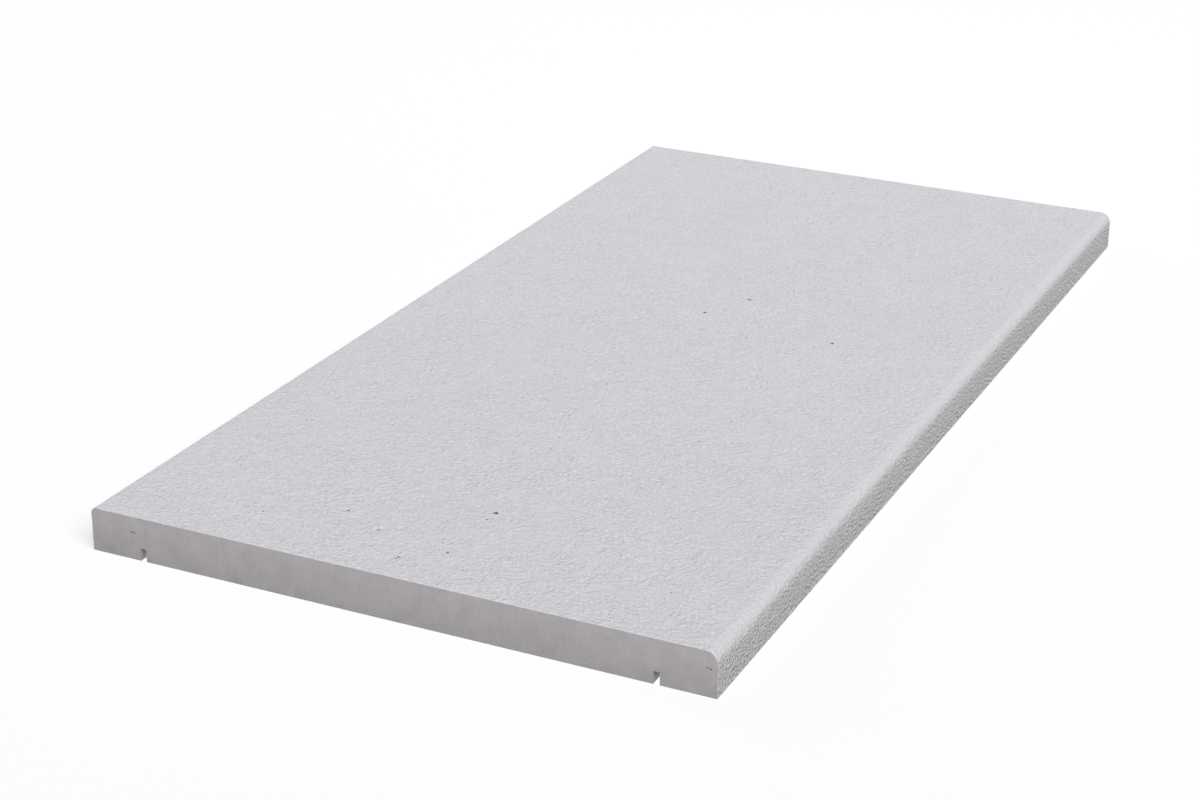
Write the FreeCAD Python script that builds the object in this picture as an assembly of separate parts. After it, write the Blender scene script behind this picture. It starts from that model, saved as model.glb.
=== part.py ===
"""A flat wall coping stone, cast in one piece.

The stone lies on top of a wall. Its length runs along the wall and its width across it. Both long
top edges are rounded, the front one more than the back one, and the ends are plain, to butt against
the next stone. A square drip groove runs the whole length of the underside near each long side, so
that rain falls clear of the wall below.

The frame is X across the wall towards the front edge, Y along the wall and Z up, with the origin in
the middle of the underside. All sizes are in millimetres.
"""

import FreeCAD, Part
import math
import os

# Overall size
LENGTH = 1000.0
WIDTH = 500.0
THICKNESS = 35.0

# Rounding of the two long top edges
FRONT_EDGE_RADIUS = 10.0
BACK_EDGE_RADIUS = 5.0

# Drip grooves: the inset runs from a long side to the nearer wall of its groove
GROOVE_INSET = 42.0
GROOVE_WIDTH = 5.0
GROOVE_DEPTH = 10.0

FRONT = 1
BACK = -1


def section_point(x, z):
    """A point of the cross-section, in the plane of the near end."""
    return FreeCAD.Vector(x, -LENGTH / 2, z)


def from_side(side, inset):
    """The x of a line that lies inset from the front or back long side."""
    return side * (WIDTH / 2 - inset)


def groove_corners(side):
    """Corners of one drip groove, from its outer wall over its ceiling to its inner wall."""
    outer = from_side(side, GROOVE_INSET)
    inner = from_side(side, GROOVE_INSET + GROOVE_WIDTH)
    return [
        section_point(outer, 0),
        section_point(outer, GROOVE_DEPTH),
        section_point(inner, GROOVE_DEPTH),
        section_point(inner, 0),
    ]


def underside():
    """The underside from the back edge to the front edge, down and up through both grooves."""
    corners = [section_point(from_side(BACK, 0), 0)]
    corners += groove_corners(BACK)
    corners += reversed(groove_corners(FRONT))
    corners.append(section_point(from_side(FRONT, 0), 0))
    return Part.makePolygon(corners).Edges


def rounded_side(side, radius):
    """A long side's straight face and the quarter round that turns it into the top."""
    side_x = from_side(side, 0)
    centre_x = from_side(side, radius)
    centre_z = THICKNESS - radius
    diagonal = radius * math.sqrt(0.5)
    foot = section_point(side_x, 0)
    shoulder = section_point(side_x, centre_z)
    halfway = section_point(centre_x + side * diagonal, centre_z + diagonal)
    crown = section_point(centre_x, THICKNESS)
    return [
        Part.LineSegment(foot, shoulder).toShape(),
        Part.Arc(shoulder, halfway, crown).toShape(),
    ]


def top():
    """The flat top between the two rounded edges."""
    front_crown = section_point(from_side(FRONT, FRONT_EDGE_RADIUS), THICKNESS)
    back_crown = section_point(from_side(BACK, BACK_EDGE_RADIUS), THICKNESS)
    return [Part.LineSegment(front_crown, back_crown).toShape()]


def coping_stone():
    """The whole stone: its cross-section drawn out along the wall."""
    outline = underside()
    outline += rounded_side(FRONT, FRONT_EDGE_RADIUS)
    outline += top()
    outline += rounded_side(BACK, BACK_EDGE_RADIUS)
    section = Part.Face(Part.Wire(Part.__sortEdges__(outline)))
    return section.extrude(FreeCAD.Vector(0, LENGTH, 0))


def main():
    stone = coping_stone()
    if not stone.isValid():
        raise ValueError("the coping stone is not a valid solid")
    os.makedirs("parts", exist_ok=True)
    stone.exportStep("parts/coping_stone.step")
    print(f"coping_stone: {stone.Volume / 1e6:.3f} litres, {len(stone.Faces)} faces")


main()
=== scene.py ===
"""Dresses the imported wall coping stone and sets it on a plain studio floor.

The stone is one casting. Its top, roundings and long sides took a fine dimpled grain from the mould, its
ends came out smooth, its underside was struck off by hand and the drip grooves were formed square.
"""

import math
from functools import partial
from types import SimpleNamespace

import bpy
from bpy.props import FloatProperty, FloatVectorProperty, IntProperty, PointerProperty
from mathutils import Matrix, Vector


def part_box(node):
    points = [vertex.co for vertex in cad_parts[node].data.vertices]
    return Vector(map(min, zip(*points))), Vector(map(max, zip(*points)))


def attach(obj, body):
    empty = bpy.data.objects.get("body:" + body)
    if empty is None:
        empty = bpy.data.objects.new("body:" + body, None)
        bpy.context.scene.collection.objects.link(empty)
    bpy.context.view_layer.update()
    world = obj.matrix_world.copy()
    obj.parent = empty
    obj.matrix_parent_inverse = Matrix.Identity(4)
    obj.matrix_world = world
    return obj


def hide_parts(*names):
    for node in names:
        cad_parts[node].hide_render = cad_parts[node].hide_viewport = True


bl_info = {
    "name": "Wall coping stone",
    "version": (1, 0, 0),
    "blender": (4, 5, 0),
    "location": "3D View > Sidebar > Coping",
    "description": "Builds a cast wall coping stone and the studio that shows it",
    "category": "Object",
}

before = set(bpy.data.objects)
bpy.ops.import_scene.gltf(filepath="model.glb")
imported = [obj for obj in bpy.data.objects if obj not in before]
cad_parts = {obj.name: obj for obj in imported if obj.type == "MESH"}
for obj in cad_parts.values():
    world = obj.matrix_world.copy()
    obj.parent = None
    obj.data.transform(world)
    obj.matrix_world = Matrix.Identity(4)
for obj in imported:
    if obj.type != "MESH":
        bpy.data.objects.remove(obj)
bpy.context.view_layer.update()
STONE_LOW, STONE_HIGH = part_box("coping_stone")
MM = 0.001

# Air bubbles that left open holes on the top, in millimetres: how far each lies from the back long side and
# from the near end, and how wide its mouth is.
TOP_BLOWHOLES = (
    (271, 123, 3.8),
    (270, 617, 3.2),
    (374, 550, 2.8),
    (247, 569, 2.7),
    (241.4, 27.0, 2.0),
    (242.3, 29.3, 2.0),
    (270, 51, 2.1),
    (172, 79, 1.9),
    (208.2, 61.2, 1.6),
    (270, 111, 1.5),
    (293, 31, 1.4),
    (117, 50, 1.5),
    (104, 59, 1.0),
    (353, 308, 1.4),
    (437, 65, 1.3),
)

# Air bubbles on the near end: from the back long side, up from the underside, and the mouth's width.
END_BLOWHOLES = (
    (494.6, 21.4, 1.2),
)

# Nicks on the near end: from the back long side, up from the underside, how long each is, and how far it
# slopes down towards the front in degrees. The first two make an arch.
END_NICKS = (
    (34.8, 22.1, 2.6, -12),
    (37.0, 22.1, 4.2, 12),
    (83, 19, 1.8, 14),
    (491.9, 21.8, 3.2, -4),
)

# How deep the middle of a bubble or a nick lies under the surface that it opens, as a share of its radius.
BUBBLE_SINK = 0.35
NICK_SINK = 0.0

# A bubble is a lumpy ball and a nick is a flat one, both drawn at a radius of 1. Most scattered bubbles
# have about the least radius, and none opens below the least height.
BALL_DIVISIONS = 3
LUMPS_PER_RADIUS = 1.6
LUMP_DEPTH = 0.7
NICK_SHAPE = (1.0, 0.35, 0.18)
FULL_TURN = 6.283
LEAST_HOLE_RADIUS = 0.3 * MM
MOST_HOLE_RADIUS = 0.7 * MM
HOLE_RARITY = 3.0
HOLE_LEAST_HEIGHT = 2.0 * MM

# The mould was smoother on the roundings than on the long sides. A rounding sets in and is whole at these
# distances from its long side, and a side ends between these depths below the top.
ROUNDING_START = 12 * MM
ROUNDING_WHOLE = 4 * MM
SIDE_WHOLE = 6.8 * MM
SIDE_END = 4.2 * MM

# Painted shade darkens the sides and ends towards the floor up to this height, and the grain of the sides is
# deeper below it.
FOOT_HEIGHT = 30 * MM

# Dimples are cut off at this level of their pattern, which is the true surface. They fade over these lengths
# from the underside and from an end, and these shares of their depth are left at an end and on a rounding.
DIMPLE_CREST = 0.68
DIMPLE_FOOT_FADE = 2.0 * MM
DIMPLE_END_FADE = 6.0 * MM
DIMPLE_END_SHARE = 0.35
DIMPLE_ROUNDING_SHARE = 0.4

# The grain of the moulded faces, as shares of its depth: grit on it, how much deeper it is at the foot, how
# deep it is in faint and in strong patches of the top, and how deep on a rounding. Cement veils part of the
# sand on a rounding.
GRIT_SHARE = 0.15
GRAIN_MIDDLE = (1 + GRIT_SHARE) / 2
FOOT_GRAIN = 1.7
FAINT_PATCH_GRAIN = 0.5
STRONG_PATCH_GRAIN = 0.96
ROUNDING_GRAIN = 0.7
ROUNDING_VEIL = 0.7

# Widths of the broader patterns of each surface, and depths of their bump. Streaks, scuffs and drags are
# stretched in one direction, where their scale is only a share of what it is across.
FACE_PATCH_SIZE = 14 * MM
FACE_CLOUD_SIZE = 70 * MM
END_CLOUD_SIZE = 16 * MM
END_STREAK_SIZE = 3 * MM
END_STREAK_STRETCH = (1.0, 1.0, 0.15)
END_PORE_DEPTH = 0.15 * MM
GROOVE_SCUFF_SIZE = 2 * MM
GROOVE_SCUFF_STRETCH = (1.0, 0.08, 1.0)
GROOVE_SCUFF_DEPTH = 0.2 * MM
GROOVE_PAINTED_LIGHT_LENGTH = 7 * MM
BED_DRAG_SIZE = 5 * MM
BED_DRAG_STRETCH = (1.0, 0.06, 1.0)
BED_GRIT_SIZE = 2 * MM
BED_GRIT_SHARE = 0.6
BED_DEPTH = 1.0 * MM
BED_CLOUD_SIZE = 90 * MM
HOLE_DUST_SIZE = 1.5 * MM
CONCRETE_IOR = 1.45

# Wear of the arrises round both ends: lumps in each metre, and the least and most share of the full wear.
WEAR_LUMPS = 90.0
LEAST_WEAR = 0.5
MOST_WEAR = 1.1

# How near a point counts as lying on the underside, on a face or on an end, and how far the smooth skin of
# an end reaches round its arris.
BED_TOUCH = 0.01 * MM
FACE_TOUCH = 0.05 * MM
END_TOUCH = 0.1 * MM
END_SKIN = 1.2 * MM

# Points on a rounding of the section, the angle past which an edge is sharp, and the length of a groove's
# cutter as a share of the stone's.
ROUNDING_POINTS = 8
SHARP_ANGLE = math.radians(40)
CUTTER_LENGTH = 1.1

# The floor lies just clear of the underside. Its shadow is this share of a full one, and fades out between
# these distances from the stone's middle.
FLOOR_WIDTH = 40.0
FLOOR_DROP = 0.1 * MM
SHADOW_SHARE = 0.4
SHADOW_FADE_START = 0.8
SHADOW_FADE_END = 2.0
WHITE = (1.0, 1.0, 1.0, 1.0)
SENSOR_WIDTH = 36.0


def linear(hex_colour):
    """Turns an sRGB hex colour into linear red, green, blue and alpha."""
    channels = [int(hex_colour[i:i + 2], 16) / 255 for i in (1, 3, 5)]
    return tuple(c / 12.92 if c <= 0.04045 else ((c + 0.055) / 1.055) ** 2.4 for c in channels) + (1.0,)


def size_property(name, description, default_mm):
    """A length that a user can change, given in millimetres."""
    return FloatProperty(name=name, description=description, default=default_mm * MM, min=0.0, precision=4,
                         unit="LENGTH")


def colour_property(name, description, default):
    """A colour that a user can change, given as an sRGB hex value."""
    return FloatVectorProperty(name=name, description=description, default=linear(default), size=4, min=0.0,
                               max=1.0, subtype="COLOR")


def add_node(tree, kind, inputs=None, **settings):
    """Adds a node with its settings, and fills each input named from a socket to link or a plain value."""
    node = tree.nodes.new(kind)
    for name, value in settings.items():
        setattr(node, name, value)
    for key, value in (inputs or {}).items():
        if isinstance(value, bpy.types.NodeSocket):
            tree.links.new(value, node.inputs[key])
        else:
            node.inputs[key].default_value = value
    return node


class CopingSizes(bpy.types.PropertyGroup):
    """The stone's shape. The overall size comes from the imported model."""

    length: FloatProperty(name="Length", description="Along the wall",
                          default=STONE_HIGH[1] - STONE_LOW[1], unit="LENGTH")
    width: FloatProperty(name="Width", description="Across the wall",
                         default=STONE_HIGH[0] - STONE_LOW[0], unit="LENGTH")
    thickness: FloatProperty(name="Thickness", description="From underside to top",
                             default=STONE_HIGH[2] - STONE_LOW[2], unit="LENGTH")
    front_radius: size_property("Front rounding", "Radius of the top edge on the front side", 10.0)
    back_radius: size_property("Back rounding", "Radius of the top edge on the back side", 5.0)
    groove_inset: size_property("Groove inset", "From a long side to the nearer wall of its groove", 42.0)
    groove_width: size_property("Groove width", "Width of a drip groove", 5.0)
    groove_depth: size_property("Groove depth", "Depth of a drip groove", 10.0)
    arris: size_property("Arris", "Wear of the sharp edges round both ends", 0.3)
    foot_arris: size_property("Foot arris", "Wear of the lower edges", 0.6)
    mesh_step: size_property("Mesh step", "Spacing of the points that carry the dimples", 2.75)


class CopingFinish(bpy.types.PropertyGroup):
    """The stone's surface."""

    relief_depth: size_property("Relief depth", "Depth of the moulded dimples", 1.45)
    relief_size: size_property("Relief size", "Width of a moulded dimple", 6.0)
    grain_depth: size_property("Grain depth", "Depth of the fine grain between the dimples", 1.7)
    grain_size: size_property("Grain size", "Width of the fine grain on the top", 2.8)
    side_grain_size: size_property("Side grain size", "Width of the fine grain on the long sides", 2.4)
    grit_size: size_property(
        "Grit size", "Width of a sand grain, drawn coarser than it is so that it shows", 1.4)
    sand_size: size_property(
        "Sand size", "Width of a pale or dark speck of sand, drawn coarser so that it shows", 1.9)
    blowholes: FloatProperty(name="Blowholes", description="Small scattered air holes on each square metre",
                             default=45.0)
    seed: IntProperty(name="Seed", description="Changes where the scattered air holes fall", default=4)
    face_colour: colour_property("Moulded face", "Top, roundings and long sides", "#CBCACD")
    end_colour: colour_property("Smooth end", "Both ends", "#CCC8CC")
    groove_colour: colour_property("Groove", "Drip grooves", "#B8B5B5")
    bed_colour: colour_property("Underside", "Struck-off underside", "#BFBDBC")
    # The air holes' colour is dark as painted shade in them, with dust.
    hole_colour: colour_property("Air holes", "Painted shade and dust in the open air holes", "#7C7976")


class CopingStudio(bpy.types.PropertyGroup):
    """Camera, light and floor."""

    camera_place: FloatVectorProperty(name="Camera place", description="Where the camera stands",
                                      default=(0.78773, -1.83488, 0.82569), unit="LENGTH",
                                      subtype="TRANSLATION")
    camera_turn: FloatProperty(name="Camera turn", default=math.radians(25.1144), unit="ROTATION",
                               description="How far round the camera stands from the near end")
    camera_drop: FloatProperty(name="Camera drop", description="How far down the camera looks",
                               default=math.radians(23.0458), unit="ROTATION")
    camera_roll: FloatProperty(name="Camera roll", description="How far the camera leans",
                               default=math.radians(0.5551), unit="ROTATION")
    camera_lens: FloatProperty(name="Lens", description="Focal length on a 36 mm sensor", default=74.692)
    key_side: FloatVectorProperty(name="Key side", description="Where the key light comes from",
                                  default=(0.553, -0.412, 0.724), subtype="DIRECTION")
    key_strength: FloatProperty(name="Key light", default=3.13,
                                description="Strength of the soft light from the front right")
    key_spread: FloatProperty(name="Key spread", description="How wide the key light looks from the stone",
                              default=math.radians(40.0), unit="ROTATION")
    fill_side: FloatVectorProperty(name="Fill side", description="Where the fill light comes from",
                                   default=(-0.962, 0.185, 0.199), subtype="DIRECTION")
    fill_strength: FloatProperty(name="Fill light", default=1.14,
                                 description="Strength of the low light from the back side")
    fill_spread: FloatProperty(name="Fill spread", description="How wide the fill light looks from the stone",
                               default=math.radians(60.0), unit="ROTATION")
    top_place: FloatVectorProperty(name="Top light place", description="Where the soft light overhead hangs",
                                   default=(0.0, 0.9, 2.0), unit="LENGTH", subtype="TRANSLATION")
    top_power: FloatProperty(name="Top light", description="Power of the soft light overhead", default=5.8,
                             unit="POWER")
    top_width: FloatProperty(name="Top light width", description="Side of the square light overhead",
                             default=1.5, unit="LENGTH")
    sky_strength: FloatProperty(name="Sky light", description="Strength of the even light from all round",
                                default=0.115)
    cool_light: colour_property("Cool light", "Tint of the sky, the fill and the light overhead", "#F5F5FF")
    floor_colour: colour_property("Floor", "What the floor throws back at the stone", "#747265")
    under_colour: colour_property("Under the stone", "What the floor throws back into the grooves", "#E0DEDE")


def blank_material(name):
    """A new material, what adds nodes to it, and the place of a point on the stone."""
    material = bpy.data.materials.new(name)
    material.use_nodes = True
    material.node_tree.nodes.clear()
    add = partial(add_node, material.node_tree)
    return material, add, add("ShaderNodeTexCoord").outputs["Object"]


def shaded_colour(add, colour, layers):
    """The colour made lighter and darker by patterns from 0 to 1, each with how much it changes it."""
    light = 1.0 - sum(amount for pattern, amount in layers) / 2
    for pattern, amount in layers:
        light = add("ShaderNodeMath", {0: pattern, 1: amount, 2: light}, operation="MULTIPLY_ADD").outputs[0]
    return add("ShaderNodeVectorMath", {0: colour[:3], "Scale": light}, operation="SCALE").outputs[0]


def concrete_surface(add, colour, roughness, **bump):
    """Ends a material of the stone with dull concrete, bumped where a normal is given."""
    shader = add("ShaderNodeBsdfPrincipled", {
        "Base Color": colour, "Roughness": roughness, "IOR": CONCRETE_IOR, **bump}).outputs["BSDF"]
    add("ShaderNodeOutputMaterial", {"Surface": shader})


def mould_zones(add, place, half_width, thickness):
    """Two patterns: 1 above the rough long sides, and 1 on the roundings alone."""
    apart = add("ShaderNodeSeparateXYZ", {0: place}).outputs
    across = add("ShaderNodeMath", {0: apart["X"]}, operation="ABSOLUTE").outputs[0]
    from_side = add("ShaderNodeMath", {0: half_width, 1: across}, operation="SUBTRACT").outputs[0]
    from_top = add("ShaderNodeMath", {0: thickness, 1: apart["Z"]}, operation="SUBTRACT").outputs[0]
    near_side = add("ShaderNodeMapRange", {
        "Value": from_side, "From Min": ROUNDING_START, "From Max": ROUNDING_WHOLE}).outputs[0]
    above_side = add("ShaderNodeMapRange", {
        "Value": from_top, "From Min": SIDE_WHOLE, "From Max": SIDE_END}).outputs[0]
    rounding = add("ShaderNodeMath", {0: near_side, 1: above_side}, operation="MULTIPLY").outputs[0]
    return above_side, rounding


def foot_shade(add, place):
    """A pattern from 0 at the underside to 1 just below the top, which sets the painted shade towards the
    floor and the deeper grain at the foot.
    """
    height = add("ShaderNodeSeparateXYZ", {0: place}).outputs["Z"]
    return add("ShaderNodeMapRange", {"Value": height, "From Max": FOOT_HEIGHT}).outputs[0]


def moulded_face_material(finish):
    """Wet-cast concrete as the mould left it: pale cement paste, dull, dimpled and wrinkled, with sand in it.

    The grain is deeper at the foot of the sides, patchy on the top and fainter on the roundings.
    """
    material, add, place = blank_material("cast_stone_moulded_face")
    above_foot = foot_shade(add, place)
    above_side, rounding = mould_zones(add, place, STONE_HIGH[0], STONE_HIGH[2])
    side_grain, top_grain = (
        add("ShaderNodeTexNoise", {
            "Vector": place, "Scale": 1.0 / size, "Detail": 0.5, "Roughness": 0.5}).outputs["Fac"]
        for size in (finish.side_grain_size, finish.grain_size))
    dimples = add("ShaderNodeMix", {0: above_side, 2: side_grain, 3: top_grain}).outputs[0]
    grit = add("ShaderNodeTexNoise", {
        "Vector": place, "Scale": 1.0 / finish.grit_size, "Detail": 2.0, "Roughness": 0.6}).outputs["Fac"]

    # The grain is measured from its middle level, so that a change of its depth tilts no surface.
    gritty = add("ShaderNodeMath", {0: grit, 1: GRIT_SHARE, 2: dimples}, operation="MULTIPLY_ADD").outputs[0]
    grain = add("ShaderNodeMath", {0: gritty, 1: GRAIN_MIDDLE}, operation="SUBTRACT").outputs[0]
    deeper = add("ShaderNodeMapRange", {"Value": above_foot, "To Min": FOOT_GRAIN, "To Max": 1.0}).outputs[0]
    patches = add("ShaderNodeTexNoise", {
        "Vector": place, "Scale": 1.0 / FACE_PATCH_SIZE, "Detail": 0.0}).outputs["Fac"]
    patchy = add("ShaderNodeMapRange", {
        "Value": patches, "From Min": 0.3, "From Max": 0.7,
        "To Min": FAINT_PATCH_GRAIN, "To Max": STRONG_PATCH_GRAIN}).outputs[0]
    on_flat = add("ShaderNodeMapRange", {"Value": above_side, "To Min": 1.0, "To Max": patchy}).outputs[0]
    share = add("ShaderNodeMapRange", {
        "Value": rounding, "To Min": on_flat, "To Max": ROUNDING_GRAIN}).outputs[0]
    at_foot = add("ShaderNodeMath", {0: grain, 1: deeper}, operation="MULTIPLY").outputs[0]
    height = add("ShaderNodeMath", {0: at_foot, 1: share}, operation="MULTIPLY").outputs[0]
    bump = add("ShaderNodeBump", {"Distance": finish.grain_depth, "Height": height}).outputs["Normal"]

    clouds = add("ShaderNodeTexNoise", {
        "Vector": place, "Scale": 1.0 / FACE_CLOUD_SIZE, "Detail": 3.0}).outputs["Fac"]
    sand = add("ShaderNodeTexNoise", {
        "Vector": place, "Scale": 1.0 / finish.sand_size, "Detail": 1.0}).outputs["Fac"]
    veil = add("ShaderNodeMath", {0: rounding, 1: ROUNDING_VEIL}, operation="MULTIPLY").outputs[0]
    specks = add("ShaderNodeMix", {0: veil, 2: sand, 3: 0.5}).outputs[0]
    # Painted shade: the hollows of the dimples are darker, the stone darkens towards the floor, and the top
    # and roundings are a shade darker than the long sides, matched to how the light falls.
    colour = shaded_colour(add, finish.face_colour, (
        (specks, 0.5), (dimples, 0.06), (grit, 0.06), (clouds, 0.06),
        (above_foot, 0.08), (above_side, -0.013), (rounding, -0.007)))
    roughness = add("ShaderNodeMapRange", {"Value": dimples, "To Min": 0.96, "To Max": 0.84}).outputs[0]
    concrete_surface(add, colour, roughness, Normal=bump)
    return material


def smooth_end_material(finish):
    """The same concrete cast against a smooth steel plate: even and closed, faintly clouded and streaked."""
    material, add, place = blank_material("cast_stone_smooth_end")
    clouds = add("ShaderNodeTexNoise", {
        "Vector": place, "Scale": 1.0 / END_CLOUD_SIZE, "Detail": 3.0, "Roughness": 0.6}).outputs["Fac"]
    upright = add("ShaderNodeMapping", {"Vector": place, "Scale": END_STREAK_STRETCH}).outputs[0]
    streaks = add("ShaderNodeTexNoise", {
        "Vector": upright, "Scale": 1.0 / END_STREAK_SIZE, "Detail": 2.0}).outputs["Fac"]
    pores = add("ShaderNodeTexNoise", {
        "Vector": place, "Scale": 1.0 / finish.grit_size, "Detail": 2.0}).outputs["Fac"]
    bump = add("ShaderNodeBump", {"Distance": END_PORE_DEPTH, "Height": pores}).outputs["Normal"]
    above_foot = foot_shade(add, place)
    across = add("ShaderNodeSeparateXYZ", {0: place}).outputs["X"]
    painted_light_to_front = add("ShaderNodeMapRange", {
        "Value": across, "From Min": STONE_LOW[0], "From Max": STONE_HIGH[0]}).outputs[0]
    # Painted light and shade: the end is paler towards the front side, where more light falls, and darker
    # towards the floor.
    colour = shaded_colour(add, finish.end_colour, (
        (clouds, 0.36), (streaks, 0.12), (pores, 0.2), (above_foot, 0.19), (painted_light_to_front, 0.07)))
    roughness = add("ShaderNodeMapRange", {"Value": clouds, "To Min": 0.75, "To Max": 0.9}).outputs[0]
    concrete_surface(add, colour, roughness, Normal=bump)
    return material


def formed_groove_material(finish, depth):
    """Concrete formed round an oiled strip: a pale scuffed skin, with painted light and shade that even out
    the light in the groove.
    """
    material, add, place = blank_material("cast_stone_formed_groove")
    drawn_out = add("ShaderNodeMapping", {"Vector": place, "Scale": GROOVE_SCUFF_STRETCH}).outputs[0]
    scuffs = add("ShaderNodeTexNoise", {
        "Vector": drawn_out, "Scale": 1.0 / GROOVE_SCUFF_SIZE, "Detail": 3.0}).outputs["Fac"]
    bump = add("ShaderNodeBump", {"Distance": GROOVE_SCUFF_DEPTH, "Height": scuffs}).outputs["Normal"]
    apart = add("ShaderNodeSeparateXYZ", {0: place}).outputs
    painted_light_to_roof = add("ShaderNodeMapRange", {"Value": apart["Z"], "From Max": depth}).outputs[0]
    along_wall = add("ShaderNodeMath", {0: apart["Y"]}, operation="ABSOLUTE").outputs[0]
    painted_light_inside = add("ShaderNodeMapRange", {
        "Value": along_wall, "From Min": STONE_HIGH[1],
        "From Max": STONE_HIGH[1] - GROOVE_PAINTED_LIGHT_LENGTH}).outputs[0]
    # Painted light and shade: the skin is darker at the mouth and at the ends, where more light falls in, and
    # paler towards the roof and further along, where shade falls.
    colour = shaded_colour(add, finish.groove_colour, ((scuffs, 0.2), (painted_light_to_roof, 0.4), (painted_light_inside, 0.56)))
    concrete_surface(add, colour, 0.85, Normal=bump)
    return material


def struck_underside_material(finish):
    """The open face of the mould, struck off with a board along the stone: dragged, gritty and darker."""
    material, add, place = blank_material("cast_stone_struck_underside")
    dragged = add("ShaderNodeMapping", {"Vector": place, "Scale": BED_DRAG_STRETCH}).outputs[0]
    drags = add("ShaderNodeTexNoise", {
        "Vector": dragged, "Scale": 1.0 / BED_DRAG_SIZE, "Detail": 3.0, "Roughness": 0.6}).outputs["Fac"]
    grit = add("ShaderNodeTexNoise", {
        "Vector": place, "Scale": 1.0 / BED_GRIT_SIZE, "Detail": 3.0, "Roughness": 0.65}).outputs["Fac"]
    height = add("ShaderNodeMath", {
        0: grit, 1: BED_GRIT_SHARE, 2: drags}, operation="MULTIPLY_ADD").outputs[0]
    bump = add("ShaderNodeBump", {"Distance": BED_DEPTH, "Height": height}).outputs["Normal"]
    clouds = add("ShaderNodeTexNoise", {
        "Vector": place, "Scale": 1.0 / BED_CLOUD_SIZE, "Detail": 4.0}).outputs["Fac"]
    colour = shaded_colour(add, finish.bed_colour, ((drags, 0.3), (grit, 0.35), (clouds, 0.3)))
    concrete_surface(add, colour, 0.92, Normal=bump)
    return material


def air_hole_material(finish):
    """The glazed skin of an air bubble, uneven with dust and dark with painted shade that deepens the hole.
    """
    material, add, place = blank_material("cast_stone_air_hole")
    dust = add("ShaderNodeTexNoise", {
        "Vector": place, "Scale": 1.0 / HOLE_DUST_SIZE, "Detail": 2.0}).outputs["Fac"]
    # Painted shade darkens the holes, and the dust makes them uneven.
    colour = shaded_colour(add, finish.hole_colour, ((dust, 0.5),))
    concrete_surface(add, colour, 0.8)
    return material


def seen_rays(add):
    """1 where the eye sees the background, also in a mirror or through glass, and 0 where it gives light."""
    path = add("ShaderNodeLightPath").outputs
    direct = add("ShaderNodeMath", {
        0: path["Is Camera Ray"], 1: path["Is Glossy Ray"]}, operation="MAXIMUM").outputs[0]
    return add("ShaderNodeMath", {
        0: direct, 1: path["Is Transmission Ray"]}, operation="MAXIMUM").outputs[0]


def floor_material(studio):
    """A plain paper sheet: white to the eye, dimmer in the light that it throws back, with a soft shadow.

    It reflects more into the grooves under the stone, and from below it can be seen through.
    """
    material, add, place = blank_material("studio_paper")
    apart = add("ShaderNodeSeparateXYZ", {0: place}).outputs
    beyond = []
    for axis, reach in (("X", STONE_HIGH[0]), ("Y", STONE_HIGH[1])):
        off = add("ShaderNodeMath", {0: apart[axis]}, operation="ABSOLUTE").outputs[0]
        beyond.append(add("ShaderNodeMath", {0: off, 1: reach}, operation="GREATER_THAN").outputs[0])
    open_floor = add("ShaderNodeMath", {0: beyond[0], 1: beyond[1]}, operation="MAXIMUM").outputs[0]
    under = add("ShaderNodeEmission", {"Color": studio.under_colour, "Strength": 1.0}).outputs[0]
    around = add("ShaderNodeEmission", {"Color": studio.floor_colour, "Strength": 1.0}).outputs[0]
    given_back = add("ShaderNodeMixShader", {0: open_floor, 1: under, 2: around}).outputs[0]

    # To the eye the sheet glows white, apart from a share that real light falls on, which takes the shadow.
    white = add("ShaderNodeBsdfDiffuse", {"Color": WHITE}).outputs[0]
    glow = add("ShaderNodeEmission", {"Color": WHITE, "Strength": 1.0}).outputs[0]
    away = add("ShaderNodeVectorMath", {0: place}, operation="LENGTH").outputs["Value"]
    shadowed = add("ShaderNodeMapRange", {
        "Value": away, "From Min": SHADOW_FADE_START, "From Max": SHADOW_FADE_END,
        "To Min": -SHADOW_SHARE, "To Max": 0.0}).outputs[0]
    glowing = add("ShaderNodeMath", {0: open_floor, 1: shadowed, 2: 1.0}, operation="MULTIPLY_ADD").outputs[0]
    lit = add("ShaderNodeMixShader", {0: glowing, 1: white, 2: glow}).outputs[0]
    sheet = add("ShaderNodeMixShader", {0: seen_rays(add), 1: given_back, 2: lit}).outputs[0]
    behind = add("ShaderNodeNewGeometry").outputs["Backfacing"]
    clear = add("ShaderNodeBsdfTransparent").outputs[0]
    one_sided = add("ShaderNodeMixShader", {0: behind, 1: sheet, 2: clear}).outputs[0]
    add("ShaderNodeOutputMaterial", {"Surface": one_sided})
    material.cycles.emission_sampling = "NONE"
    return material


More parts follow.
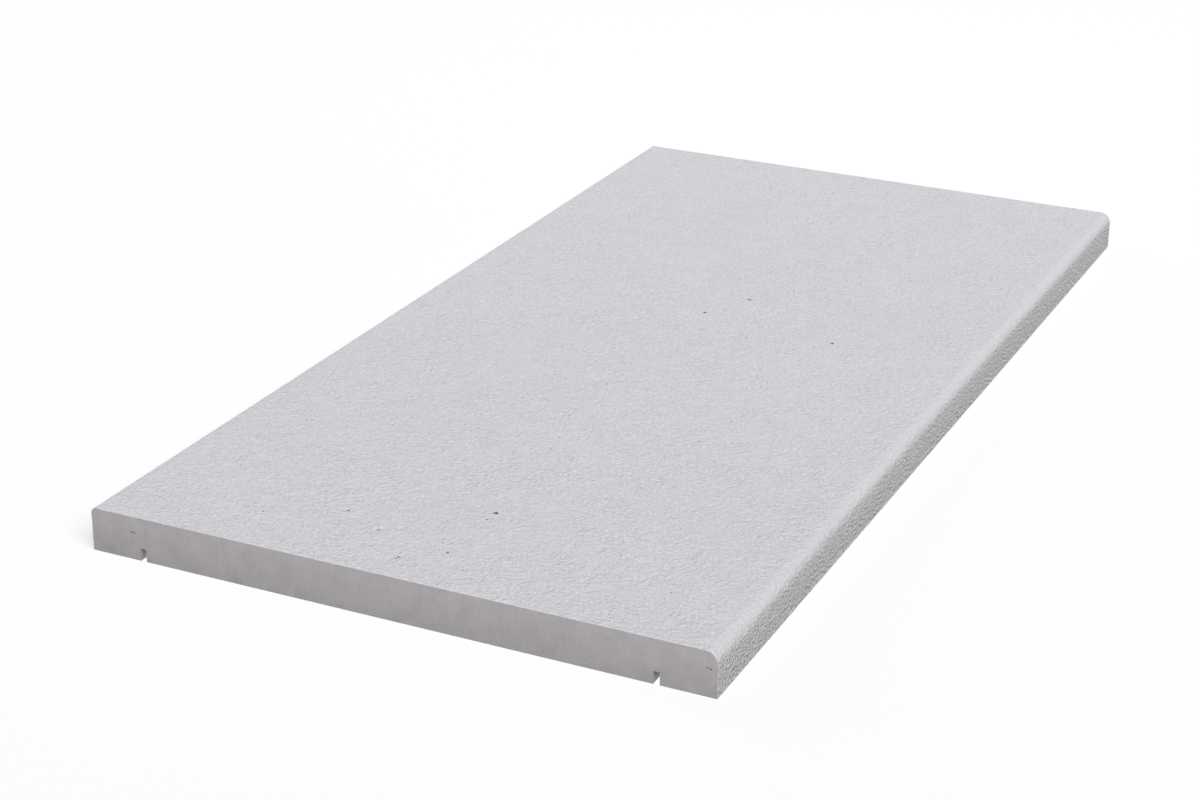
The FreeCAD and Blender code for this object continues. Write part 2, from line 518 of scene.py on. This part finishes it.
def stone_fields(add, given):
    """Lengths that several steps share, and fields that say where a point or a face of the stone lies."""
    here = add("GeometryNodeInputPosition").outputs[0]
    apart = add("ShaderNodeSeparateXYZ", {0: here}).outputs
    across_wall = add("ShaderNodeMath", {0: apart["X"]}, operation="ABSOLUTE").outputs[0]
    along_wall = add("ShaderNodeMath", {0: apart["Y"]}, operation="ABSOLUTE").outputs[0]
    half_width = add("ShaderNodeMath", {0: given["Width"], 1: 0.5}, operation="MULTIPLY").outputs[0]
    half_length = add("ShaderNodeMath", {0: given["Length"], 1: 0.5}, operation="MULTIPLY").outputs[0]
    normal = add("GeometryNodeInputNormal").outputs[0]
    in_section = add("ShaderNodeVectorMath", {0: normal, 1: (1.0, 0.0, 1.0)}, operation="MULTIPLY").outputs[0]
    outward = add("ShaderNodeVectorMath", {0: in_section}, operation="NORMALIZE").outputs[0]
    end_plane = add("ShaderNodeMath", {0: half_length, 1: END_TOUCH}, operation="SUBTRACT").outputs[0]
    at_end = add("FunctionNodeCompare", {
        0: along_wall, 1: end_plane}, data_type="FLOAT", operation="GREATER_THAN").outputs[0]
    half_groove = add("ShaderNodeMath", {0: given["Groove Width"], 1: 0.5}, operation="MULTIPLY").outputs[0]
    groove_line = add("ShaderNodeMath", {
        0: given["Groove Inset"], 1: half_groove}, operation="ADD").outputs[0]
    groove_x = add("ShaderNodeMath", {0: half_width, 1: groove_line}, operation="SUBTRACT").outputs[0]
    return SimpleNamespace(
        here=here, height=apart["Z"], across_wall=across_wall, along_wall=along_wall, half_width=half_width,
        half_length=half_length, outward=outward, at_end=at_end, half_groove=half_groove, groove_x=groove_x)


def stone_section(add, given, stone):
    """The outline across the wall: up the back side, over the top, down the front side and back under.

    The sweep turns its second axis downwards, so heights are drawn as negative. The underside has no points
    between its corners.
    """
    back_x = add("ShaderNodeMath", {0: given["Width"], 1: -0.5}, operation="MULTIPLY").outputs[0]
    rise = add("ShaderNodeMath", {0: given["Thickness"], 1: -1.0}, operation="MULTIPLY").outputs[0]
    back_foot = add("ShaderNodeCombineXYZ", {"X": back_x}).outputs[0]
    back_crown = add("ShaderNodeCombineXYZ", {"X": back_x, "Y": rise}).outputs[0]
    front_crown = add("ShaderNodeCombineXYZ", {"X": stone.half_width, "Y": rise}).outputs[0]
    front_foot = add("ShaderNodeCombineXYZ", {"X": stone.half_width}).outputs[0]
    corners = add("GeometryNodeCurvePrimitiveQuadrilateral", {
        "Point 1": back_foot, "Point 2": back_crown,
        "Point 3": front_crown, "Point 4": front_foot}, mode="POINTS").outputs[0]
    index = add("GeometryNodeInputIndex").outputs[0]
    radius = add("GeometryNodeIndexSwitch", {"Index": index}, data_type="FLOAT")
    for corner, name in enumerate(("Foot Arris", "Back Radius", "Front Radius", "Foot Arris")):
        if corner > 1:
            radius.index_switch_items.new()
        radius.id_data.links.new(given[name], radius.inputs[corner + 1])
    rounded = add("GeometryNodeFilletCurve", {
        "Curve": corners, "Count": ROUNDING_POINTS, "Radius": radius.outputs[0],
        "Limit Radius": True}, mode="POLY").outputs[0]
    after = add("ShaderNodeMath", {0: index, 1: 1.0}, operation="ADD").outputs[0]
    there = add("GeometryNodeFieldAtIndex", {
        "Index": after, "Value": stone.here}, data_type="FLOAT_VECTOR", domain="POINT").outputs[0]
    run = add("ShaderNodeVectorMath", {0: stone.here, 1: there}, operation="DISTANCE").outputs["Value"]
    steps = add("ShaderNodeMath", {0: run, 1: given["Mesh Step"]}, operation="DIVIDE").outputs[0]
    whole_steps = add("ShaderNodeMath", {0: steps}, operation="FLOOR").outputs[0]
    drawn_height = add("ShaderNodeSeparateXYZ", {0: stone.here}).outputs["Y"]
    off_bed = add("ShaderNodeMath", {0: drawn_height, 1: -BED_TOUCH}, operation="LESS_THAN").outputs[0]
    cuts = add("ShaderNodeMath", {0: whole_steps, 1: off_bed}, operation="MULTIPLY").outputs[0]
    return add("GeometryNodeSubdivideCurve", {"Curve": rounded, "Cuts": cuts}).outputs[0]


def wall_path(add, given, stone):
    """The line along the wall that the section is swept on, with a point close to each end for the arris."""
    near_end = add("ShaderNodeMath", {0: given["Length"], 1: -0.5}, operation="MULTIPLY").outputs[0]
    far_arris = add("ShaderNodeMath", {
        0: stone.half_length, 1: given["Arris"]}, operation="SUBTRACT").outputs[0]
    near_arris = add("ShaderNodeMath", {0: far_arris, 1: -1.0}, operation="MULTIPLY").outputs[0]
    bays = add("ShaderNodeMath", {0: given["Length"], 1: given["Mesh Step"]}, operation="DIVIDE").outputs[0]
    last_bay = add("ShaderNodeMath", {0: bays}, operation="ROUND").outputs[0]
    stations = add("ShaderNodeMath", {0: last_bay, 1: 2.0}, operation="ADD").outputs[0]
    straight = add("GeometryNodeCurvePrimitiveLine", {"End": (0.0, 1.0, 0.0)}, mode="POINTS").outputs[0]
    spaced = add("GeometryNodeResampleCurve", {"Curve": straight, "Count": stations}, mode="COUNT").outputs[0]
    index = add("GeometryNodeInputIndex").outputs[0]
    along = add("ShaderNodeMapRange", {
        "Value": index, "From Min": 1.0, "From Max": last_bay,
        "To Min": near_arris, "To Max": far_arris}, clamp=False).outputs[0]
    held = add("ShaderNodeClamp", {"Value": along, "Min": near_end, "Max": stone.half_length}).outputs[0]
    station = add("ShaderNodeCombineXYZ", {"Y": held}).outputs[0]
    path = add("GeometryNodeSetPosition", {"Geometry": spaced, "Position": station}).outputs[0]
    return add("GeometryNodeSetCurveNormal", {"Curve": path}, mode="Z_UP").outputs[0]


def dimpled_faces(add, given, stone, casting):
    """Sinks the mould's dimples inwards from the true surface, square to the section.

    They die out at the foot of the sides, and are shallow on the roundings and close to the ends.
    """
    scale = add("ShaderNodeMath", {0: 1.0, 1: given["Relief Size"]}, operation="DIVIDE").outputs[0]
    dimples = add("ShaderNodeTexNoise", {
        "Vector": stone.here, "Scale": scale, "Detail": 1.0, "Roughness": 0.5}).outputs["Fac"]
    below_crest = add("ShaderNodeMath", {0: dimples, 1: DIMPLE_CREST}, operation="SUBTRACT").outputs[0]
    sunk = add("ShaderNodeMath", {0: below_crest, 1: 0.0}, operation="MINIMUM").outputs[0]
    depth = add("ShaderNodeMath", {0: sunk, 1: given["Relief Depth"]}, operation="MULTIPLY").outputs[0]
    off_foot = add("ShaderNodeMapRange", {
        "Value": stone.height, "From Min": 0.0, "From Max": DIMPLE_FOOT_FADE},
        interpolation_type="SMOOTHSTEP").outputs[0]
    from_end = add("ShaderNodeMath", {
        0: stone.half_length, 1: stone.along_wall}, operation="SUBTRACT").outputs[0]
    off_end = add("ShaderNodeMapRange", {
        "Value": from_end, "From Min": 0.0, "From Max": DIMPLE_END_FADE, "To Min": DIMPLE_END_SHARE},
        interpolation_type="SMOOTHSTEP").outputs[0]
    off_edges = add("ShaderNodeMath", {0: off_foot, 1: off_end}, operation="MULTIPLY").outputs[0]
    rounding = mould_zones(add, stone.here, stone.half_width, given["Thickness"])[1]
    off_rounding = add("ShaderNodeMapRange", {
        "Value": rounding, "To Min": 1.0, "To Max": DIMPLE_ROUNDING_SHARE}).outputs[0]
    share = add("ShaderNodeMath", {0: off_edges, 1: off_rounding}, operation="MULTIPLY").outputs[0]
    faded = add("ShaderNodeMath", {0: depth, 1: share}, operation="MULTIPLY").outputs[0]
    relief = add("ShaderNodeVectorMath", {0: stone.outward, "Scale": faded}, operation="SCALE").outputs[0]
    return add("GeometryNodeSetPosition", {"Geometry": casting, "Offset": relief}).outputs[0]


def worn_ends(add, given, stone, casting):
    """Wears the arris round each end back by an uneven amount, the most along the underside."""
    lumps = add("ShaderNodeTexNoise", {
        "Vector": stone.here, "Scale": WEAR_LUMPS, "Detail": 3.0, "Roughness": 0.7}).outputs["Fac"]
    wear = add("ShaderNodeMapRange", {
        "Value": lumps, "From Min": 0.3, "From Max": 0.75,
        "To Min": LEAST_WEAR, "To Max": MOST_WEAR}).outputs[0]
    facing_up = add("ShaderNodeSeparateXYZ", {0: stone.outward}).outputs["Z"]
    full_wear = add("ShaderNodeMapRange", {
        "Value": facing_up, "From Min": -1.0, "From Max": 0.0,
        "To Min": given["Foot Arris"], "To Max": given["Arris"]}).outputs[0]
    depth = add("ShaderNodeMath", {0: wear, 1: full_wear}, operation="MULTIPLY").outputs[0]
    inwards = add("ShaderNodeMath", {0: depth, 1: -1.0}, operation="MULTIPLY").outputs[0]
    pull = add("ShaderNodeVectorMath", {0: stone.outward, "Scale": inwards}, operation="SCALE").outputs[0]
    return add("GeometryNodeSetPosition", {
        "Geometry": casting, "Selection": stone.at_end, "Offset": pull}).outputs[0]


def groove_cutters(add, given, stone):
    """Two bars that cut the drip grooves the whole length, one near each long side."""
    length = add("ShaderNodeMath", {0: given["Length"], 1: CUTTER_LENGTH}, operation="MULTIPLY").outputs[0]
    height = add("ShaderNodeMath", {0: given["Groove Depth"], 1: 2.0}, operation="MULTIPLY").outputs[0]
    size = add("ShaderNodeCombineXYZ", {"X": given["Groove Width"], "Y": length, "Z": height}).outputs[0]
    bar = add("GeometryNodeMeshCube", {"Size": size}).outputs[0]
    back_x = add("ShaderNodeMath", {0: stone.groove_x, 1: -1.0}, operation="MULTIPLY").outputs[0]
    front_place = add("ShaderNodeCombineXYZ", {"X": stone.groove_x}).outputs[0]
    back_place = add("ShaderNodeCombineXYZ", {"X": back_x}).outputs[0]
    pair = add("GeometryNodeCurvePrimitiveLine", {
        "Start": back_place, "End": front_place}, mode="POINTS").outputs[0]
    places = add("GeometryNodeCurveToPoints", {"Curve": pair, "Count": 2}, mode="COUNT").outputs[0]
    return add("GeometryNodeInstanceOnPoints", {"Points": places, "Instance": bar}).outputs[0]


def air_holes(add, given, stone, casting, hole):
    """The placed bubbles, the placed nicks and small scattered bubbles, as shapes to cut away."""
    lumps = add("ShaderNodeTexNoise", {
        "Vector": stone.here, "Scale": LUMPS_PER_RADIUS, "Detail": 1.0}).outputs["Color"]
    shift = add("ShaderNodeVectorMath", {0: lumps, 1: (0.5, 0.5, 0.5)}, operation="SUBTRACT").outputs[0]
    offset = add("ShaderNodeVectorMath", {0: shift, "Scale": LUMP_DEPTH}, operation="SCALE").outputs[0]
    ball = add("GeometryNodeMeshIcoSphere", {"Radius": 1.0, "Subdivisions": BALL_DIVISIONS}).outputs[0]
    lumpy = add("GeometryNodeSetPosition", {"Geometry": ball, "Offset": offset}).outputs[0]
    bubble = add("GeometryNodeSetMaterial", {"Geometry": lumpy, "Material": hole}).outputs[0]
    nick = add("GeometryNodeTransform", {"Geometry": bubble, "Scale": NICK_SHAPE}).outputs[0]

    placed = add("GeometryNodeObjectInfo", {"Object": given["Placed Blowholes"]}).outputs["Geometry"]
    radius, slope, is_nick = (
        add("GeometryNodeInputNamedAttribute", {"Name": name}, data_type=kind).outputs["Attribute"]
        for name, kind in (("radius", "FLOAT"), ("slope", "FLOAT"), ("nick", "BOOLEAN")))
    is_bubble = add("FunctionNodeBooleanMath", {0: is_nick}, operation="NOT").outputs[0]
    spin = add("FunctionNodeRandomValue", {
        0: (0.0, 0.0, 0.0), 1: (FULL_TURN, FULL_TURN, FULL_TURN), "Seed": given["Seed"]},
        data_type="FLOAT_VECTOR").outputs[0]
    any_turn = add("FunctionNodeEulerToRotation", {0: spin}).outputs[0]
    lean = add("ShaderNodeCombineXYZ", {"Y": slope}).outputs[0]
    nick_turn = add("FunctionNodeEulerToRotation", {0: lean}).outputs[0]
    placed_bubbles = add("GeometryNodeInstanceOnPoints", {
        "Points": placed, "Selection": is_bubble, "Instance": bubble, "Rotation": any_turn, "Scale": radius})
    placed_nicks = add("GeometryNodeInstanceOnPoints", {
        "Points": placed, "Selection": is_nick, "Instance": nick, "Rotation": nick_turn, "Scale": radius})

    off_foot = add("FunctionNodeCompare", {
        0: stone.height, 1: HOLE_LEAST_HEIGHT}, data_type="FLOAT", operation="GREATER_THAN").outputs[0]
    off_ends = add("FunctionNodeBooleanMath", {0: off_foot, 1: stone.at_end}, operation="NIMPLY").outputs[0]
    scatter = add("GeometryNodeDistributePointsOnFaces", {
        "Mesh": casting, "Selection": off_ends, "Density": given["Blowholes"], "Seed": given["Seed"]},
        distribute_method="RANDOM").outputs["Points"]
    chance = add("FunctionNodeRandomValue", {
        2: 0.0, 3: 1.0, "Seed": given["Seed"]}, data_type="FLOAT").outputs[1]
    rarer = add("ShaderNodeMath", {0: chance, 1: HOLE_RARITY}, operation="POWER").outputs[0]
    small_radius = add("ShaderNodeMapRange", {
        "Value": rarer, "To Min": LEAST_HOLE_RADIUS, "To Max": MOST_HOLE_RADIUS}).outputs[0]
    scattered = add("GeometryNodeInstanceOnPoints", {
        "Points": scatter, "Instance": bubble, "Rotation": any_turn, "Scale": small_radius})
    return [holes.outputs[0] for holes in (placed_bubbles, placed_nicks, scattered)]


def dressed_faces(add, given, stone, casting, face, end, groove, bed, hole):
    """Shades plane faces flat and the rest smooth, and gives each face the finish of where it lies."""
    in_hole = add("GeometryNodeMaterialSelection", {"Material": hole}).outputs[0]
    outside = add("FunctionNodeBooleanMath", {0: in_hole}, operation="NOT").outputs[0]
    under = add("FunctionNodeCompare", {
        0: stone.height, 1: FACE_TOUCH}, data_type="FLOAT", operation="LESS_THAN").outputs[0]
    wall_reach = add("ShaderNodeMath", {0: stone.half_groove, 1: FACE_TOUCH}, operation="ADD").outputs[0]
    roof_reach = add("ShaderNodeMath", {0: given["Groove Depth"], 1: FACE_TOUCH}, operation="ADD").outputs[0]
    in_line = add("FunctionNodeCompare", {
        0: stone.across_wall, 1: stone.groove_x, "Epsilon": wall_reach},
        data_type="FLOAT", operation="EQUAL").outputs[0]
    below_roof = add("FunctionNodeCompare", {
        0: stone.height, 1: roof_reach}, data_type="FLOAT", operation="LESS_THAN").outputs[0]
    in_groove = add("FunctionNodeBooleanMath", {0: in_line, 1: below_roof}, operation="AND").outputs[0]
    skin_line = add("ShaderNodeMath", {0: stone.half_length, 1: END_SKIN}, operation="SUBTRACT").outputs[0]
    near_end = add("FunctionNodeCompare", {
        0: stone.along_wall, 1: skin_line}, data_type="FLOAT", operation="GREATER_THAN").outputs[0]
    end_skin = add("FunctionNodeBooleanMath", {0: near_end, 1: outside}, operation="AND").outputs[0]

    # Edges are sharp where faces meet at an angle.
    upright = add("FunctionNodeBooleanMath", {0: stone.at_end, 1: in_groove}, operation="OR").outputs[0]
    plane = add("FunctionNodeBooleanMath", {0: upright, 1: under}, operation="OR").outputs[0]
    curved = add("FunctionNodeBooleanMath", {0: plane}, operation="NOT").outputs[0]
    smooth = add("GeometryNodeSetShadeSmooth", {
        "Geometry": casting, "Shade Smooth": curved}, domain="FACE").outputs[0]
    angle = add("GeometryNodeInputMeshEdgeAngle").outputs["Unsigned Angle"]
    soft = add("FunctionNodeCompare", {
        0: angle, 1: SHARP_ANGLE}, data_type="FLOAT", operation="LESS_THAN").outputs[0]
    edged = add("GeometryNodeSetShadeSmooth", {"Geometry": smooth, "Shade Smooth": soft}, domain="EDGE")

    dressed = add("GeometryNodeRealizeInstances", {"Geometry": edged.outputs[0]}).outputs[0]
    for where, finish in ((outside, face), (end_skin, end), (in_groove, groove), (under, bed)):
        dressed = add("GeometryNodeSetMaterial", {
            "Geometry": dressed, "Selection": where, "Material": finish}).outputs[0]
    return dressed


def stone_tree(face, end, groove, bed, hole):
    """Geometry Nodes that sweep the section along the wall, dimple it, wear it, cut it and dress it."""
    tree = bpy.data.node_groups.new("coping_stone_casting", "GeometryNodeTree")
    for name in ("Length", "Width", "Thickness", "Front Radius", "Back Radius", "Groove Inset",
                 "Groove Width", "Groove Depth", "Arris", "Foot Arris", "Mesh Step", "Relief Depth",
                 "Relief Size", "Blowholes"):
        tree.interface.new_socket(name, in_out="INPUT", socket_type="NodeSocketFloat")
    tree.interface.new_socket("Seed", in_out="INPUT", socket_type="NodeSocketInt")
    tree.interface.new_socket("Placed Blowholes", in_out="INPUT", socket_type="NodeSocketObject")
    tree.interface.new_socket("Geometry", in_out="OUTPUT", socket_type="NodeSocketGeometry")
    add = partial(add_node, tree)
    given = add("NodeGroupInput").outputs
    stone = stone_fields(add, given)

    swept = add("GeometryNodeCurveToMesh", {
        "Curve": wall_path(add, given, stone), "Profile Curve": stone_section(add, given, stone),
        "Fill Caps": True}).outputs[0]
    dimpled = dimpled_faces(add, given, stone, swept)
    worn = worn_ends(add, given, stone, dimpled)
    together = add("GeometryNodeJoinGeometry")
    for cutter in (groove_cutters(add, given, stone), *air_holes(add, given, stone, dimpled, hole)):
        tree.links.new(cutter, together.inputs[0])
    cutters = add("GeometryNodeRealizeInstances", {"Geometry": together.outputs[0]}).outputs[0]
    cut = add("GeometryNodeMeshBoolean", {
        "Mesh 1": worn, "Mesh 2": cutters}, operation="DIFFERENCE", solver="MANIFOLD").outputs[0]
    dressed = dressed_faces(add, given, stone, cut, face, end, groove, bed, hole)
    add("NodeGroupOutput", {"Geometry": dressed})
    return tree


def blowhole_points(sizes):
    """A cloud of points at the middles of the placed bubbles and nicks, each with its radius and slope."""
    points = []
    radii = []
    nicks = []
    slopes = []
    for marks, sink in ((TOP_BLOWHOLES, BUBBLE_SINK), (END_BLOWHOLES, BUBBLE_SINK), (END_NICKS, NICK_SINK)):
        for across, other, mouth, *slope in marks:
            radius = mouth * MM / 2 / math.sqrt(1 - sink ** 2)
            x = across * MM - sizes.width / 2
            if marks is TOP_BLOWHOLES:
                points.append((x, other * MM - sizes.length / 2, sizes.thickness - sink * radius))
            else:
                points.append((x, sink * radius - sizes.length / 2, other * MM))
            radii.append(radius)
            nicks.append(marks is END_NICKS)
            slopes.append(math.radians(sum(slope)))
    mesh = bpy.data.meshes.new("placed_blowholes")
    mesh.from_pydata(points, [], [])
    mesh.attributes.new("radius", "FLOAT", "POINT").data.foreach_set("value", radii)
    mesh.attributes.new("nick", "BOOLEAN", "POINT").data.foreach_set("value", nicks)
    mesh.attributes.new("slope", "FLOAT", "POINT").data.foreach_set("value", slopes)
    return bpy.data.objects.new("placed_blowholes", mesh)


class COPING_OT_stone(bpy.types.Operator):
    """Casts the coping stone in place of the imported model's plain one"""

    bl_idname = "coping.stone"
    bl_label = "Coping stone"

    def execute(self, context):
        sizes = context.scene.coping_sizes
        finish = context.scene.coping_finish
        face = moulded_face_material(finish)
        end = smooth_end_material(finish)
        bed = struck_underside_material(finish)
        hole = air_hole_material(finish)
        groove = formed_groove_material(finish, sizes.groove_depth)
        tree = stone_tree(face, end, groove, bed, hole)
        stone = bpy.data.objects.new("coping_stone_casting", bpy.data.meshes.new("blank"))
        context.scene.collection.objects.link(stone)
        holes = blowhole_points(sizes)
        context.scene.collection.objects.link(holes)
        modifier = stone.modifiers.new("casting", "NODES")
        modifier.node_group = tree
        values = {
            "Length": sizes.length, "Width": sizes.width, "Thickness": sizes.thickness,
            "Front Radius": sizes.front_radius, "Back Radius": sizes.back_radius,
            "Groove Inset": sizes.groove_inset, "Groove Width": sizes.groove_width,
            "Groove Depth": sizes.groove_depth, "Arris": sizes.arris, "Foot Arris": sizes.foot_arris,
            "Mesh Step": sizes.mesh_step, "Relief Depth": finish.relief_depth,
            "Relief Size": finish.relief_size, "Blowholes": finish.blowholes, "Seed": finish.seed,
            "Placed Blowholes": holes,
        }
        for socket in tree.interface.items_tree:
            if socket.in_out == "INPUT":
                modifier[socket.identifier] = values[socket.name]
        evaluated = stone.evaluated_get(context.evaluated_depsgraph_get())
        mesh = bpy.data.meshes.new_from_object(evaluated)
        if not mesh.polygons:
            raise RuntimeError("The casting came out empty")
        mesh.name = "coping_stone_casting"
        stone.modifiers.remove(modifier)
        bpy.data.objects.remove(holes)
        stone.data = mesh
        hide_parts("coping_stone")
        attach(stone, "root")
        return {"FINISHED"}


class COPING_OT_studio(bpy.types.Operator):
    """Lays the floor, hangs the lights and sets up the camera"""

    bl_idname = "coping.studio"
    bl_label = "Studio"

    def execute(self, context):
        scene = context.scene
        studio = scene.coping_studio
        scene.view_settings.view_transform = "Standard"

        bpy.ops.mesh.primitive_plane_add(size=FLOOR_WIDTH, location=(0.0, 0.0, -FLOOR_DROP))
        floor = context.object
        floor.name = "studio_floor"
        floor.data.materials.append(floor_material(studio))

        world = bpy.data.worlds.new("studio_sky")
        world.use_nodes = True
        world.node_tree.nodes.clear()
        add = partial(add_node, world.node_tree)
        sky = add("ShaderNodeBackground", {"Color": studio.cool_light, "Strength": studio.sky_strength})
        backdrop = add("ShaderNodeBackground", {"Color": WHITE, "Strength": 1.0})
        both = add("ShaderNodeMixShader", {0: seen_rays(add), 1: sky.outputs[0], 2: backdrop.outputs[0]})
        add("ShaderNodeOutputWorld", {"Surface": both.outputs[0]})
        scene.world = world

        cool = studio.cool_light[:3]
        for name, colour, side, strength, spread in (
            ("key_light", WHITE[:3], studio.key_side, studio.key_strength, studio.key_spread),
            ("fill_light", cool, studio.fill_side, studio.fill_strength, studio.fill_spread),
        ):
            lamp = bpy.data.lights.new(name, "SUN")
            lamp.color = colour
            lamp.energy = strength
            lamp.angle = spread
            light = bpy.data.objects.new(name, lamp)
            light.rotation_euler = Vector(side).to_track_quat("Z", "Y").to_euler()
            scene.collection.objects.link(light)

        softbox = bpy.data.lights.new("top_light", "AREA")
        softbox.energy = studio.top_power
        softbox.color = cool
        softbox.size = studio.top_width
        overhead = bpy.data.objects.new("top_light", softbox)
        overhead.location = studio.top_place
        scene.collection.objects.link(overhead)

        camera_data = bpy.data.cameras.new("camera")
        camera_data.sensor_width = SENSOR_WIDTH
        camera_data.lens = studio.camera_lens
        camera = bpy.data.objects.new("camera", camera_data)
        camera.matrix_world = (Matrix.Translation(studio.camera_place)
                               @ Matrix.Rotation(studio.camera_turn, 4, "Z")
                               @ Matrix.Rotation(math.pi / 2 - studio.camera_drop, 4, "X")
                               @ Matrix.Rotation(studio.camera_roll, 4, "Z"))
        scene.collection.objects.link(camera)
        scene.camera = camera
        return {"FINISHED"}


class COPING_PT_panel(bpy.types.Panel):
    """Sizes, finishes and studio of the coping stone"""

    bl_idname = "COPING_PT_panel"
    bl_label = "Wall coping stone"
    bl_space_type = "VIEW_3D"
    bl_region_type = "UI"
    bl_category = "Coping"

    def draw(self, context):
        scene = context.scene
        for settings, operator in (
            (scene.coping_sizes, None),
            (scene.coping_finish, COPING_OT_stone),
            (scene.coping_studio, COPING_OT_studio),
        ):
            box = self.layout.box()
            for name in settings.bl_rna.properties.keys():
                if name not in {"rna_type", "name"}:
                    box.prop(settings, name)
            if operator:
                box.operator(operator.bl_idname)


CLASSES = (CopingSizes, CopingFinish, CopingStudio, COPING_OT_stone, COPING_OT_studio, COPING_PT_panel)


def register():
    for cls in CLASSES:
        bpy.utils.register_class(cls)
    bpy.types.Scene.coping_sizes = PointerProperty(type=CopingSizes)
    bpy.types.Scene.coping_finish = PointerProperty(type=CopingFinish)
    bpy.types.Scene.coping_studio = PointerProperty(type=CopingStudio)


def unregister():
    del bpy.types.Scene.coping_studio
    del bpy.types.Scene.coping_finish
    del bpy.types.Scene.coping_sizes
    for cls in reversed(CLASSES):
        bpy.utils.unregister_class(cls)


def main():
    register()
    bpy.ops.coping.stone()
    bpy.ops.coping.studio()


if __name__ == "__main__":
    main()
